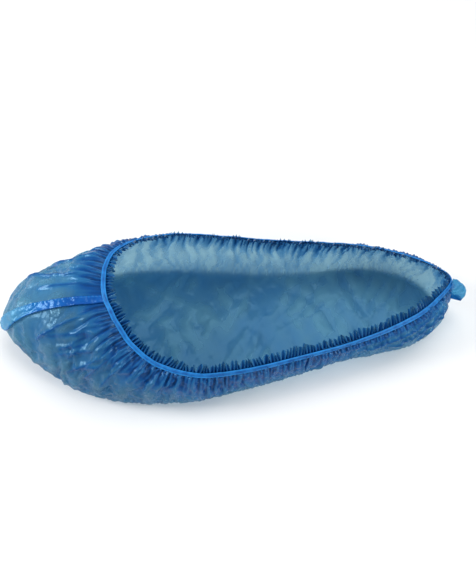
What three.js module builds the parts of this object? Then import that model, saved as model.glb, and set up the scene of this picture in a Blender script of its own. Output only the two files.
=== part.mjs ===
// A disposable shoe cover of thin blue film, in the shape that it takes over a left shoe.
// It is a bag of one folded sheet, welded shut at the toe and at the heel. An elastic band gathers
// its mouth, and the free edge of the film stands above the band as a pleated ruffle.
// Millimetres, +Z up. The toe points along -Y, and +X is the outer side of the foot.
import * as THREE from "three";
import { mergeVertices } from "three/addons/utils/BufferGeometryUtils.js";

// Driving sizes
const COVER_LENGTH = 300; // toe tip to heel, along the sole
const FILM_WALL = 1.2; // stands in for film 0.03 thick
const GAP = 0.35; // between neighbouring pieces

const SOLE_CORNER = 5; // radius where the film turns from the sole up the side
const CORNER_SHARE = 0.12; // share of a rib's rows spent on that corner
const FULLNESS_TOE = 1; // the lower it is, the more the film bulges outwards
const FULLNESS_SIDE = 0.85;
const TOE_SPRING = 13; // how far the toe tip is lifted off the floor
const SPRING_LENGTH = 85; // the sole is flat behind this distance from the toe

const PLEATS = 72; // gathers round the mouth
const PLEAT_DEPTH = 1.5; // half of the height from valley to crest, at its deepest
const PLEAT_DEPTH_AT_BAND = 0.4; // the band presses the gathers flat
const PLEAT_FULL = 9; // distance from the band where a gather is deepest
const PLEAT_REACHES = [26, 46, 32, 58, 38]; // how far a gather runs from the band, in turn
const TOE_CALM = 13; // this near to a weld the film is too stiff to gather
const HEEL_CALM = 7;

const BAND_WIDTH = 3.2;
const BAND_THICKNESS = 0.9;
const FILM_ABOVE_BAND = 2.2; // from the middle of the band to the foot of the ruffle

const RUFFLE_WIDTH = 6;
const RUFFLE_DEPTH = 1.7; // half height of its pleats at the free edge
const RUFFLE_RISE_TOE = 0.42; // 0 lies level, 1 stands upright
const RUFFLE_RISE_SIDE = 0.8;

const FLAP_THICKNESS = 1.1; // the toe seam's two film layers, folded flat
const FIN_THICKNESS = 1.2; // the heel seam's two film layers, standing out
const FIN_LEAN = THREE.MathUtils.degToRad(32); // from straight back towards the outer side

// Ribs run from the sole's edge up to the elastic band. They go from the heel along the outer side
// to the toe tip, and back along the inner side. "At" is the distance from the toe tip, and "out" is
// the distance from the middle line.
const RIBS = [
  { soleAt: 300, soleOut: 1, bandAt: 297.5, bandOut: 0, bandHeight: 31 },
  { soleAt: 292, soleOut: 19, bandAt: 285, bandOut: 13, bandHeight: 30 },
  { soleAt: 270, soleOut: 33, bandAt: 267, bandOut: 24, bandHeight: 29.5 },
  { soleAt: 243, soleOut: 37.5, bandAt: 243, bandOut: 32.2, bandHeight: 28.5 },
  { soleAt: 216, soleOut: 40, bandAt: 215, bandOut: 38.5, bandHeight: 28 },
  { soleAt: 182, soleOut: 47, bandAt: 182, bandOut: 44.2, bandHeight: 28 },
  { soleAt: 149, soleOut: 52.5, bandAt: 148, bandOut: 48.8, bandHeight: 28 },
  { soleAt: 116, soleOut: 56, bandAt: 119, bandOut: 49.6, bandHeight: 30 },
  { soleAt: 83, soleOut: 53, bandAt: 96, bandOut: 42.4, bandHeight: 34.5 },
  { soleAt: 55, soleOut: 45, bandAt: 82, bandOut: 31.3, bandHeight: 41 },
  { soleAt: 32, soleOut: 32, bandAt: 74, bandOut: 18.5, bandHeight: 47 },
  { soleAt: 12, soleOut: 13, bandAt: 70, bandOut: 9, bandHeight: 50 },
  { soleAt: 0.5, soleOut: -5, bandAt: 67.8, bandOut: 1.5, bandHeight: 51.6 },
  { soleAt: 7, soleOut: -24, bandAt: 67.5, bandOut: -8, bandHeight: 51.6 },
  { soleAt: 25, soleOut: -37.5, bandAt: 69, bandOut: -20, bandHeight: 50.6 },
  { soleAt: 51, soleOut: -46, bandAt: 75, bandOut: -32, bandHeight: 49 },
  { soleAt: 82, soleOut: -49, bandAt: 89.5, bandOut: -40, bandHeight: 47.5 },
  { soleAt: 114, soleOut: -47.5, bandAt: 114, bandOut: -43.5, bandHeight: 45.5 },
  { soleAt: 147, soleOut: -43, bandAt: 147, bandOut: -41, bandHeight: 42 },
  { soleAt: 180, soleOut: -38.5, bandAt: 180, bandOut: -37.5, bandHeight: 38 },
  { soleAt: 214, soleOut: -36.5, bandAt: 214, bandOut: -35, bandHeight: 34.5 },
  { soleAt: 244, soleOut: -37, bandAt: 243, bandOut: -32, bandHeight: 32 },
  { soleAt: 271, soleOut: -31.5, bandAt: 268, bandOut: -24, bandHeight: 31 },
  { soleAt: 293, soleOut: -17, bandAt: 287, bandOut: -13, bandHeight: 31 },
];
const HEEL_WELD = 0;
const TOE_WELD = 12 / RIBS.length; // both are places round the cover, from 0 to 1

// Width of the toe seam's flap on its way from the sole to the band
const FLAP_SECTIONS = [
  { share: 0.13, width: 9 },
  { share: 0.2, width: 9 },
  { share: 0.28, width: 8.8 },
  { share: 0.36, width: 8.3 },
  { share: 0.44, width: 7.6 },
  { share: 0.52, width: 6.8 },
  { share: 0.6, width: 6.2 },
  { share: 0.68, width: 5.8 },
  { share: 0.76, width: 5.6 },
  { share: 0.84, width: 5.8 },
  { share: 0.9, width: 6.2 },
  { share: 0.955, width: 6.8 },
];

// Width of the heel seam's fin, which ends in a loose pointed ear under the band
const FIN_SECTIONS = [
  { share: 0.13, width: 2.5 },
  { share: 0.3, width: 3 },
  { share: 0.34, width: 11 },
  { share: 0.44, width: 12 },
  { share: 0.54, width: 11 },
  { share: 0.64, width: 9 },
  { share: 0.73, width: 6.5 },
  { share: 0.82, width: 3.5 },
];

// Broad folds of slack film: each is a ridge that runs between two ribs and two heights on the rib.
const FOLDS = [
  { fromRib: 11.2, fromShare: 0.78, toRib: 9.6, toShare: 0.3, height: 2.2, width: 5 },
  { fromRib: 9.6, fromShare: 0.75, toRib: 8.4, toShare: 0.3, height: 1.8, width: 5 },
  { fromRib: 13.4, fromShare: 0.8, toRib: 13.9, toShare: 0.3, height: 1.8, width: 5 },
  { fromRib: 0.6, fromShare: 0.75, toRib: 3.4, toShare: 0.35, height: 1.8, width: 4 },
];

// Shares of the way up a rib, from the sole to the mouth
const ROWS = [0, 0.06, CORNER_SHARE, 0.26, 0.4, 0.54, 0.66, 0.77, 0.86, 0.94, 1];

const mix = THREE.MathUtils.lerp;
const ease = THREE.MathUtils.smoothstep;

const along = (fromToe) => fromToe - COVER_LENGTH / 2;

function closedCurve(points) {
  return new THREE.CatmullRomCurve3(points, true, "catmullrom", 0.5);
}

const soleEdge = closedCurve(
  RIBS.map((rib) => new THREE.Vector3(rib.soleOut, along(rib.soleAt), 0)),
);
const bandLine = closedCurve(
  RIBS.map((rib) => new THREE.Vector3(rib.bandOut, along(rib.bandAt), rib.bandHeight)),
);
bandLine.arcLengthDivisions = 1200;

// Floor clearance of the sole, which rises towards the toe tip.
function soleLift(y) {
  const share = THREE.MathUtils.clamp(1 - (y - along(0)) / SPRING_LENGTH, 0, 1);
  return TOE_SPRING * share * share;
}

// 1 where a rib runs a long way over the toe, 0 where it is a short upright side.
function toeShare(t) {
  const sole = soleEdge.getPoint(t);
  const band = bandLine.getPoint(t);
  return ease(Math.hypot(sole.x - band.x, sole.y - band.y), 8, 50);
}

// The smooth film: t goes round the cover, share goes up a rib from the sole to the band.
function filmPoint(turns, share) {
  const t = turns - Math.floor(turns);
  const sole = soleEdge.getPoint(t);
  const band = bandLine.getPoint(t);
  if (share < CORNER_SHARE) {
    const tangent = soleEdge.getTangent(t);
    const inwards = new THREE.Vector3(tangent.y, -tangent.x, 0);
    const turn = (share / CORNER_SHARE) * (Math.PI / 2);
    const point = sole.addScaledVector(inwards, SOLE_CORNER * (1 - Math.sin(turn)));
    point.z = soleLift(point.y) + SOLE_CORNER * (1 - Math.cos(turn));
    return point;
  }
  const lastTurn = THREE.MathUtils.degToRad(mix(66, 80, toeShare(t)));
  const turn = ((share - CORNER_SHARE) / (1 - CORNER_SHARE)) * lastTurn;
  const power = mix(FULLNESS_SIDE, FULLNESS_TOE, toeShare(t));
  const inwards = (1 - Math.cos(turn) ** power) / (1 - Math.cos(lastTurn) ** power);
  const upwards = (Math.sin(turn) / Math.sin(lastTurn)) ** power;
  const low = soleLift(sole.y) + SOLE_CORNER;
  return new THREE.Vector3(
    mix(sole.x, band.x, inwards),
    mix(sole.y, band.y, inwards),
    mix(low, band.z, upwards),
  );
}

// Directions of the smooth film: round the cover, up the rib, and outwards.
function filmFrame(t, share) {
  const step = 1e-3;
  const up = Math.min(share + step, 1);
  const round = filmPoint(t + step, share).sub(filmPoint(t - step, share)).normalize();
  const rise = filmPoint(t, up).sub(filmPoint(t, up - step)).normalize();
  const out = new THREE.Vector3().crossVectors(rise, round).normalize();
  return { round, rise, out };
}

function distanceToBand(t, share) {
  const steps = 8;
  let length = 0;
  for (let i = 0; i < steps; i++) {
    const low = filmPoint(t, mix(share, 1, i / steps));
    length += low.distanceTo(filmPoint(t, mix(share, 1, (i + 1) / steps)));
  }
  return length;
}

// 0 on a weld, 1 away from it.
function awayFromSeams(t) {
  const here = bandLine.getPoint(t);
  const toToe = here.distanceTo(bandLine.getPoint(TOE_WELD));
  const toHeel = here.distanceTo(bandLine.getPoint(HEEL_WELD));
  return ease(toToe, 0.6 * TOE_CALM, TOE_CALM) * ease(toHeel, 0.4 * HEEL_CALM, HEEL_CALM);
}

function gatherDepth(t, share, column) {
  const distance = distanceToBand(t, share);
  const reach = PLEAT_REACHES[Math.floor(column / 2) % PLEAT_REACHES.length];
  const onSide = ease(share, CORNER_SHARE, 0.45);
  const fade = 1 - ease(distance, PLEAT_FULL, reach);
  const full = mix(PLEAT_DEPTH_AT_BAND, PLEAT_DEPTH, ease(distance, 3.5, PLEAT_FULL));
  return full * fade * onSide * awayFromSeams(t);
}

// Height of the broad folds at a place on the film.
function foldHeight(t, share) {
  const here = filmPoint(t, share);
  let height = 0;
  for (const fold of FOLDS) {
    const low = filmPoint(fold.toRib / RIBS.length, fold.toShare);
    const high = filmPoint(fold.fromRib / RIBS.length, fold.fromShare);
    const line = new THREE.Line3(low, high);
    const nearest = line.closestPointToPoint(here, true, new THREE.Vector3());
    const off = nearest.distanceTo(here) / fold.width;
    height = Math.max(height, fold.height * Math.exp(-off * off));
  }
  const clearOfBand = ease(distanceToBand(t, share), 6, 14);
  return height * clearOfBand * ease(share, CORNER_SHARE, 0.3) * awayFromSeams(t);
}

// One column for each crest and each valley, evenly spaced along the band.
const COLUMNS = 2 * PLEATS;
const columnAt = Array.from({ length: COLUMNS }, (_, k) => bandLine.getUtoTmapping(k / COLUMNS));
const crest = (column) => (column % 2 ? -1 : 1);

// Joins rows of points into one closed skin. Each row is a ring of points with the same count.
function ringsToGeometry(rings, caps) {
  const count = rings[0].length;
  const positions = rings.flat().flatMap((p) => [p.x, p.y, p.z]);
  const faces = [];
  const strips = caps ? rings.length - 1 : rings.length;
  for (let r = 0; r < strips; r++) {
    const low = r * count;
    const high = ((r + 1) % rings.length) * count;
    for (let k = 0; k < count; k++) {
      const next = (k + 1) % count;
      faces.push(low + k, high + next, low + next, low + k, high + k, high + next);
    }
  }
  if (caps) {
    const last = (rings.length - 1) * count;
    for (let k = 0; k < count / 2; k++) {
      const [a, b, c, d] = [k, k + 1, count - k - 1, (count - k) % count];
      for (const [i, j, l] of [[a, b, c], [a, c, d]]) {
        if (i === j || j === l || l === i) continue;
        faces.push(i, j, l, last + l, last + j, last + i);
      }
    }
  }
  const geometry = new THREE.BufferGeometry();
  geometry.setAttribute("position", new THREE.Float32BufferAttribute(positions, 3));
  geometry.setIndex(faces);
  return mergeVertices(geometry, 1e-3);
}

// The bag of film: a flat sole and one gathered wall, hollow and open at the top.
function filmBag() {
  const outside = [];
  const inside = [];
  const addRow = (share, beyond) => {
    const skin = columnAt.map((t, k) => {
      const { rise, out } = filmFrame(t, share);
      return filmPoint(t, share)
        .addScaledVector(rise, beyond)
        .addScaledVector(out, crest(k) * gatherDepth(t, share, k) + foldHeight(t, share));
    });
    const lining = columnAt.map((t, k) =>
      skin[k].clone().addScaledVector(filmFrame(t, share).out, -FILM_WALL),
    );
    outside.push(skin);
    inside.unshift(lining);
  };
  for (const share of ROWS) addRow(share, 0);
  addRow(1, FILM_ABOVE_BAND);
  return ringsToGeometry([...outside, ...inside], true);
}

// Where the ruffle leans: inwards over the toe, nearly upright along the sides.
function ruffleLean(t, rise) {
  const level = new THREE.Vector3(rise.x, rise.y, 0).normalize();
  const lift = mix(RUFFLE_RISE_SIDE, RUFFLE_RISE_TOE, toeShare(t));
  const lean = level.multiplyScalar(Math.sqrt(1 - lift * lift));
  lean.z = lift;
  return lean;
}

// The free edge of the film above the band, in pleats that open towards the edge.
function hemRuffle() {
  const outside = [];
  const inside = [];
  for (const share of [0, 0.45, 1]) {
    const skin = [];
    const lining = [];
    columnAt.forEach((t, k) => {
      const { round, rise } = filmFrame(t, 1);
      const lean = ruffleLean(t, rise);
      const out = new THREE.Vector3().lerpVectors(rise, lean, share).cross(round).normalize();
      const depth = mix(PLEAT_DEPTH_AT_BAND, RUFFLE_DEPTH, share) * mix(0.4, 1, awayFromSeams(t));
      const point = filmPoint(t, 1)
        .addScaledVector(rise, FILM_ABOVE_BAND + GAP)
        .addScaledVector(lean, RUFFLE_WIDTH * share)
        .addScaledVector(out, crest(k) * depth);
      skin.push(point);
      lining.push(point.clone().addScaledVector(out, -FILM_WALL));
    });
    outside.push(skin);
    inside.unshift(lining);
  }
  return ringsToGeometry([...outside, ...inside], false);
}

// The elastic: a flat band that lies on the gathers just below the ruffle.
function elasticBand() {
  const low = PLEAT_DEPTH_AT_BAND + GAP;
  const corners = [
    { up: -BAND_WIDTH / 2, off: low },
    { up: -BAND_WIDTH / 2, off: low + BAND_THICKNESS },
    { up: BAND_WIDTH / 2, off: low + BAND_THICKNESS },
    { up: BAND_WIDTH / 2, off: low },
  ];
  const rings = corners.map(({ up, off }) =>
    columnAt.map((t) => {
      const { rise, out } = filmFrame(t, 1);
      return filmPoint(t, 1).addScaledVector(rise, up).addScaledVector(out, off);
    }),
  );
  return ringsToGeometry(rings, false);
}

// A strip through flat sections, closed at both ends. Each section's first corner sees all others.
function stripGeometry(sections) {
  const corners = sections[0].length;
  const positions = sections.flat().flatMap((p) => [p.x, p.y, p.z]);
  const faces = [];
  for (let s = 0; s + 1 < sections.length; s++) {
    for (let c = 0; c < corners; c++) {
      const a = corners * s + c;
      const b = corners * s + ((c + 1) % corners);
      faces.push(a, b, b + corners, a, b + corners, a + corners);
    }
  }
  const last = corners * (sections.length - 1);
  for (let c = 1; c + 1 < corners; c++) faces.push(0, c + 1, c, last, last + c, last + c + 1);
  const geometry = new THREE.BufferGeometry();
  geometry.setAttribute("position", new THREE.Float32BufferAttribute(positions, 3));
  geometry.setIndex(faces);
  return geometry;
}

// Parameter round the cover at a distance along the film from t, at one share of the rib.
function stepRound(t, share, distance) {
  const step = 1e-3;
  const speed = filmPoint(t + step, share).distanceTo(filmPoint(t, share)) / step;
  return t + distance / speed;
}

// The toe weld's two layers, folded flat towards the outer side, from the sole to the band.
function toeSeamFlap() {
  const sections = FLAP_SECTIONS.map(({ share, width }) => {
    const pairs = [0, 0.5, 1].map((across) => {
      const t = stepRound(TOE_WELD, share, -across * width);
      const { out } = filmFrame(t, share);
      const low = filmPoint(t, share).addScaledVector(out, GAP + PLEAT_DEPTH_AT_BAND);
      return [low, low.clone().addScaledVector(out, FLAP_THICKNESS)];
    });
    const [[low0, high0], [low1, high1], [low2, high2]] = pairs;
    return [high1, high2, low2, low1, low0, high0];
  });
  return stripGeometry(sections);
}

// The heel weld's two layers, standing out behind and leaning to the outer side.
function heelSeamFin() {
  const sections = FIN_SECTIONS.map(({ share, width }) => {
    const { round, out } = filmFrame(HEEL_WELD, share);
    const edgewise = out.clone().multiplyScalar(Math.cos(FIN_LEAN));
    edgewise.addScaledVector(round, Math.sin(FIN_LEAN));
    const side = round.clone().multiplyScalar(Math.cos(FIN_LEAN));
    side.addScaledVector(out, -Math.sin(FIN_LEAN)).multiplyScalar(FIN_THICKNESS / 2);
    const clearance = GAP + (FIN_THICKNESS / 2) * Math.sin(FIN_LEAN);
    const foot = filmPoint(HEEL_WELD, share).addScaledVector(out, clearance);
    const edge = foot.clone().addScaledVector(edgewise, width);
    return [
      foot.clone().sub(side),
      foot.clone().add(side),
      edge.clone().add(side),
      edge.clone().sub(side),
    ];
  });
  return stripGeometry(sections);
}

const film = { color: 0x4f93c4, roughness: 0.32, metalness: 0 };
const doubledFilm = { color: 0x1f63b0, roughness: 0.35, metalness: 0 };
const gatheredFilm = { color: 0x14499c, roughness: 0.35, metalness: 0 };
const elastic = { color: 0x4fa4e2, roughness: 0.5, metalness: 0 };

function piece(name, geometry, finish) {
  const mesh = new THREE.Mesh(geometry, new THREE.MeshStandardMaterial(finish));
  mesh.name = name;
  return mesh;
}

const shoeCover = new THREE.Group();
shoeCover.add(
  piece("film_bag", filmBag(), film),
  piece("hem_ruffle", hemRuffle(), gatheredFilm),
  piece("elastic_band", elasticBand(), elastic),
  piece("toe_seam_flap", toeSeamFlap(), doubledFilm),
  piece("heel_seam_fin", heelSeamFin(), doubledFilm),
);


// The origin is on the floor, under the middle of the whole cover.
const whole = new THREE.Box3().setFromObject(shoeCover, true);
const middle = whole.getCenter(new THREE.Vector3());
shoeCover.position.set(-middle.x, -middle.y, -whole.min.z);

export default shoeCover;
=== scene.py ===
# %% [markdown]
# # A disposable shoe cover in thin blue film
#
# The real cover is one sheet of thin film, folded and welded into a bag. An elastic band gathers its
# mouth, and the free edge stands above the band as a ruffle. The solids of the part give the size
# and the main shapes. Here each of them is replaced by a thin sheet with real folds in it.

import math

import bmesh
import bpy
import numpy as np
from mathutils import Matrix, Vector, noise


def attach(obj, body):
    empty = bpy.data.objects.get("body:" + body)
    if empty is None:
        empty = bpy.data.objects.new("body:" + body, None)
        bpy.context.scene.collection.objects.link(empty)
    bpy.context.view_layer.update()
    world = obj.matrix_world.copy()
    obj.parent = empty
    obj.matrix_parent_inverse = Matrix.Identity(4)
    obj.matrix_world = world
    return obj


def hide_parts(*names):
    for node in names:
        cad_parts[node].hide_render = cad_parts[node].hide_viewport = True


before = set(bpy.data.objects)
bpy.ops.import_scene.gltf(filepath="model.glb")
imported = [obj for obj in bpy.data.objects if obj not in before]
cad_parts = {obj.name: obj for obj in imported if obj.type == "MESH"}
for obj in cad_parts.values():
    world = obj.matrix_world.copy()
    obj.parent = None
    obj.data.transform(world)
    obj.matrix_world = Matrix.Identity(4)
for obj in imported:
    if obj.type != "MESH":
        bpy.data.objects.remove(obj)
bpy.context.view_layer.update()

# %% [markdown]
# ## The camera
#
# The photo looks down on the outer side of the cover from close by, so near parts look larger. A
# camera with the same place and lens comes first, because every later choice is judged through it.
# The picture is 476 by 580 pixels, and the lens is given by its focal length in those pixels.

# %% Camera
MM = 0.001
PICTURE = (476, 580)
FOCAL_PIXELS = 561
SENSOR = 36.0
VIEW_AZIMUTH = math.radians(75.1)
VIEW_HEIGHT = math.radians(58.2)
VIEW_ROLL = math.radians(7.7)
VIEW_DISTANCE = 0.405
LOOKED_AT = Vector((-0.0287, 0.0017, 0.0))


def camera_axes():
    """Right, up and back directions of the camera."""
    level = math.cos(VIEW_HEIGHT)
    to_side, to_heel = math.sin(VIEW_AZIMUTH) * level, -math.cos(VIEW_AZIMUTH) * level
    back = Vector((to_side, to_heel, math.sin(VIEW_HEIGHT)))
    right = Vector((math.cos(VIEW_AZIMUTH), math.sin(VIEW_AZIMUTH), 0.0))
    up = back.cross(right)
    roll = Matrix.Rotation(VIEW_ROLL, 3, back)
    return roll @ right, roll @ up, back


right, up, back = camera_axes()
lens = bpy.data.cameras.new("photo_camera")
lens.sensor_width = SENSOR
lens.lens = FOCAL_PIXELS * SENSOR / max(PICTURE)
lens.clip_start = 0.01
camera = bpy.data.objects.new("photo_camera", lens)
bpy.context.scene.collection.objects.link(camera)
turned = Matrix((right, up, back)).transposed().to_4x4()
camera.matrix_world = Matrix.Translation(LOOKED_AT + back * VIEW_DISTANCE) @ turned
bpy.context.scene.camera = camera
print("camera at", tuple(round(c, 3) for c in camera.matrix_world.translation))

# %% [markdown]
# ## The shape of the film
#
# In use the film is a skin that starts at the sole's edge, turns up round a small corner and runs up
# to the elastic. It is easiest to describe by ribs that run from the sole to the band. They are
# listed from the heel, along the outer side to the toe, and back along the inner side. Two smooth
# closed curves, one through the feet of the ribs and one through their tops, fill the gaps between
# them. Sizes are in millimetres here, from the toe tip and out from the middle line, and become
# metres in the frame at the end.

# %% Ribs
TOE_TO_ORIGIN = 154.635
MIDDLE_TO_ORIGIN = 3.6
RIBS = [  # sole: from the toe, out; band: from the toe, out, height
    (300, 1, 297.5, 0, 31),
    (292, 19, 285, 13, 30),
    (270, 33, 267, 24, 29.5),
    (243, 37.5, 243, 32.2, 28.5),
    (216, 40, 215, 38.5, 28),
    (182, 47, 182, 44.2, 28),
    (149, 52.5, 148, 48.8, 28),
    (116, 56, 119, 49.6, 30),
    (83, 53, 96, 42.4, 34.5),
    (55, 45, 82, 31.3, 41),
    (32, 32, 74, 18.5, 47),
    (12, 13, 70, 9, 50),
    (0.5, -5, 67.8, 1.5, 51.6),
    (7, -24, 67.5, -8, 51.6),
    (25, -37.5, 69, -20, 50.6),
    (51, -46, 75, -32, 49),
    (82, -49, 89.5, -40, 47.5),
    (114, -47.5, 114, -43.5, 45.5),
    (147, -43, 147, -41, 42),
    (180, -38.5, 180, -37.5, 38),
    (214, -36.5, 214, -35, 34.5),
    (244, -37, 243, -32, 32),
    (271, -31.5, 268, -24, 31),
    (293, -17, 287, -13, 31),
]
TOE_WELD = 12 / len(RIBS)
SOLE_EDGE = np.array([(out, at, 0.0) for at, out, *_ in RIBS])
BAND_LINE = np.array([(out, at, height) for _, _, at, out, height in RIBS])


# %% Helpers for curves
def ease(x, low, high):
    """0 up to low, 1 from high on, and a smooth step in between."""
    s = np.clip((x - low) / (high - low), 0, 1)
    return s * s * (3 - 2 * s)


def mix(a, b, s):
    """a where s is 0, b where s is 1, and in between otherwise."""
    return a + (b - a) * s


def zigzag(place):
    """1 at whole numbers, 0 halfway between them, and straight in between."""
    return np.abs(2 * (place % 1.0) - 1)


def unit(vectors):
    """The same directions with a length of 1."""
    return vectors / (np.linalg.norm(vectors, axis=-1, keepdims=True) + 1e-12)


def between(before, start, end, after, f):
    """A place on the smooth curve from start to end, which heeds the points beyond them too."""
    bend = 2 * start - 2 * end + (end - before) / 2 + (after - start) / 2
    lean = 3 * end - 3 * start - (end - before) - (after - start) / 2
    return start + f * ((end - before) / 2 + f * (lean + f * bend))


def closed_curve(points, turns):
    """Places on a smooth closed curve through points, where one turn goes all the way round."""
    place = (turns % 1.0) * len(points)
    i = np.floor(place).astype(int)
    near = (points[(i + k) % len(points)] for k in (-1, 0, 1, 2))
    return between(*near, (place - i)[..., None])


# %% [markdown]
# A place on the film is given by the turn round the cover and by the share of the way up a rib. The
# first stretch of each rib is the corner of the sole. Above it the wall follows nearly a quarter of a
# rounded arch: steep at the sole, and almost level at the band over the toe. At the sides the ribs
# are short and upright, and follow less of the arch.

# %% Places on the film
SOLE_CORNER = 5.0
CORNER_SHARE = 0.12
TOE_SPRING = 13.0
SPRING_LENGTH = 85.0
ARCH_DEGREES = (66, 80)  # at the sides, over the toe
ARCH_POWER = (0.85, 1.0)
SIDE_TO_TOE = (8, 50)
FINE_STEP = 1e-4


def sole_lift(from_toe):
    """How far the sole is off the floor: it rises towards the toe tip."""
    return TOE_SPRING * np.clip(1 - from_toe / SPRING_LENGTH, 0, 1) ** 2


def toe_share(turns):
    """1 where a rib runs a long way over the toe, 0 where it is a short upright side."""
    level = (closed_curve(SOLE_EDGE, turns) - closed_curve(BAND_LINE, turns))[..., :2]
    return ease(np.linalg.norm(level, axis=-1), *SIDE_TO_TOE)


def corner_point(turns, share, sole):
    """Places on the small round corner of the sole."""
    step = closed_curve(SOLE_EDGE, turns + FINE_STEP) - closed_curve(SOLE_EDGE, turns - FINE_STEP)
    step /= np.linalg.norm(step, axis=-1, keepdims=True)
    inward = np.stack([step[..., 1], -step[..., 0], 0 * step[..., 0]], -1)
    bend = np.clip(share / CORNER_SHARE, 0, 1) * np.pi / 2
    corner = sole + inward * (SOLE_CORNER * (1 - np.sin(bend)))[..., None]
    corner[..., 2] = sole_lift(corner[..., 1]) + SOLE_CORNER * (1 - np.cos(bend))
    return corner


def wall_point(turns, share, sole):
    """Places on the wall, from the corner of the sole up to the band."""
    band = closed_curve(BAND_LINE, turns)
    toe = toe_share(turns)
    arch = np.radians(mix(*ARCH_DEGREES, toe))
    turn = np.clip((share - CORNER_SHARE) / (1 - CORNER_SHARE), 0, 1) * arch
    power = mix(*ARCH_POWER, toe)
    inwards = (1 - np.cos(turn) ** power) / (1 - np.cos(arch) ** power)
    upwards = (np.sin(turn) / np.sin(arch)) ** power
    wall = mix(sole, band, inwards[..., None])
    wall[..., 2] = mix(sole_lift(sole[..., 1]) + SOLE_CORNER, band[..., 2], upwards)
    return wall


def film_point(turns, share):
    """Places on the film."""
    sole = closed_curve(SOLE_EDGE, turns)
    corner, wall = corner_point(turns, share, sole), wall_point(turns, share, sole)
    return np.where((share < CORNER_SHARE)[..., None], corner, wall)


# %% Directions and distances on the film
SMALL_STEP = 1e-3
FINE_TURNS = np.linspace(0, 1, 6001)


def film_frame(turns, share):
    """Directions at a place on the film: round the cover, up the rib, and outwards."""
    top = np.minimum(share + SMALL_STEP, 1.0)
    around = unit(film_point(turns + SMALL_STEP, share) - film_point(turns - SMALL_STEP, share))
    rise = unit(film_point(turns, top) - film_point(turns, top - SMALL_STEP))
    return around, rise, unit(np.cross(rise, around))


def turn_length(turns, share):
    """Millimetres that a whole turn would take, judged from a small step at each place."""
    step = film_point(turns + SMALL_STEP, share) - film_point(turns, share)
    return np.linalg.norm(step, axis=-1) / SMALL_STEP


def running_length(points):
    """How far along a line each of its points is."""
    steps = np.linalg.norm(np.diff(points, axis=0), axis=-1)
    return np.concatenate([[0], np.cumsum(steps)])


ALONG_BAND = running_length(closed_curve(BAND_LINE, FINE_TURNS))


def even_turns(count):
    """Turns that are evenly spaced along the band, starting at the heel weld."""
    return np.interp(np.linspace(0, ALONG_BAND[-1], count + 1), ALONG_BAND, FINE_TURNS)


print("band length", round(ALONG_BAND[-1]), "mm")

# %% [markdown]
# ## From a grid to a sheet
#
# Every film piece starts as a flat grid. Its columns go round the cover or along a seam, and its
# rows go across. Moving the grid's points to their places on the film bends it into shape, and
# merging the first column with the last closes it. Each point remembers its number in the grid, so
# that marks such as the depth of blue and its painted shade can be written on it afterwards, for the
# materials.

# %% Bend a grid into a sheet
HALF_GRID = 0.5
MERGE_WITHIN = 1e-6
SQUARE_CM = 1e-4
WELDED_THICKNESS = 0.25


def to_frame(places):
    """Millimetres from the toe tip become metres in the frame."""
    moved = places - np.array([MIDDLE_TO_ORIGIN, TOE_TO_ORIGIN, 0.0])
    return moved * MM


def numbers_of(mesh):
    """Each point's number in the grid that the mesh was made from."""
    values = np.zeros(len(mesh.vertices), np.int32)
    mesh.attributes["number"].data.foreach_get("value", values)
    return values


def write_marks(mesh, marks):
    """Give the points a value for each mark, which materials can read."""
    for mark, values in marks.items():
        layer = mesh.attributes.new(mark, "FLOAT", "POINT")
        layer.data.foreach_set("value", values.ravel()[numbers_of(mesh)].astype(np.float32))


def sheet_from(name, places, close=True, tube=False, marks=None, scale=1.0):
    """A sheet whose grid of points lies at places, row by row, with marks written on the points."""
    rows, columns = places.shape[0] - 1, places.shape[1] - 1
    grid = bmesh.new()
    bmesh.ops.create_grid(grid, x_segments=columns, y_segments=rows, size=HALF_GRID)
    bmesh.ops.reverse_faces(grid, faces=grid.faces)
    number = grid.verts.layers.int.new("number")
    uv = grid.loops.layers.uv.new("sheet")
    for face in grid.faces:
        for loop in face.loops:
            loop[uv].uv = (loop.vert.co.x + HALF_GRID, loop.vert.co.y + HALF_GRID)
    seat = to_frame(places) * scale
    for vert in grid.verts:
        row = round((vert.co.y + HALF_GRID) * rows)
        column = round((vert.co.x + HALF_GRID) * columns)
        vert[number] = row * (columns + 1) + column
        vert.co = seat[row, column]
    if close:
        bmesh.ops.remove_doubles(grid, verts=grid.verts, dist=MERGE_WITHIN * scale)
    if tube:
        bmesh.ops.recalc_face_normals(grid, faces=grid.faces)
    mesh = bpy.data.meshes.new(name)
    grid.to_mesh(mesh)
    grid.free()
    mesh.shade_smooth()
    write_marks(mesh, marks or {})
    piece = bpy.data.objects.new(name, mesh)
    bpy.context.scene.collection.objects.link(piece)
    area = sum(face.area for face in mesh.polygons) / scale**2
    print(name, len(mesh.vertices), "points,", len(mesh.polygons), "faces")
    print(name, "covers", round(area / SQUARE_CM), "sq cm")
    return piece


def thicken(piece):
    """Give the two layers at a weld a thickness that shows at their edge."""
    wall = piece.modifiers.new("thickness", "SOLIDIFY")
    wall.thickness = WELDED_THICKNESS * MM
    wall.offset = 0


# %% [markdown]
# ## The gathers
#
# The film is longer than the stretched elastic, so it stands up in gathers beside it. They are
# narrow at the band. Further down they fade, and neighbours merge into wider and softer ones. Each
# gather here is a ridge of its own height and length, on a wandering line. Three sets of ridges,
# each twice as wide as the last, make the merging.

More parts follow.
